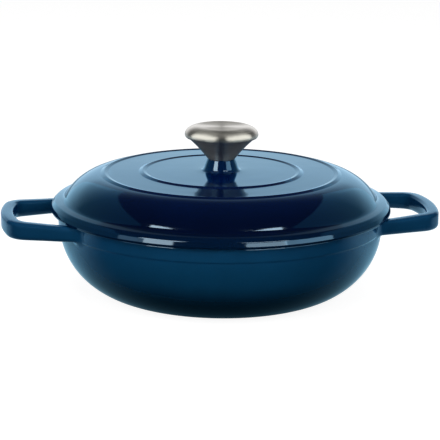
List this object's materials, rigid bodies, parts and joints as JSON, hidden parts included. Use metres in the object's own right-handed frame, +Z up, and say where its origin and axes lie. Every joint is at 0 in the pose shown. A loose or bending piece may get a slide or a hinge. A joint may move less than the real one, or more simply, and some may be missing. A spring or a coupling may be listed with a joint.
{
  "type": "saute pan",
  "caption": "Wide shallow enamelled cast-iron saute pan with looped side handles and a domed lid that lifts off by a flared stainless knob.",
  "frame": {"origin": "on the surface that the pan stands on, under the pan's centre", "axes": "+Z up out of the pan, the two handles along X, Y across them"},
  "size_m": [0.3948, 0.3058, 0.1525],
  "materials": {
    "enamel": "gloss blue enamel, darker towards the base, cream inside",
    "stainless": "brushed",
    "plated_steel": "bright zinc plate"
  },
  "bodies": {
    "pan": {"pan_body": "enamel"},
    "lid": {"lid": "enamel", "knob_cone": "stainless", "knob_cap": "stainless", "knob_insert": "plated_steel", "knob_screw": "plated_steel", "flat_washer": "plated_steel", "lock_washer": "plated_steel"}
  },
  "joints": [
    {"name": "lid_lift", "type": "slide", "parent": "pan", "child": "lid", "axis": [0, 0, 1], "range_m": [0, 0.15]}
  ]
}
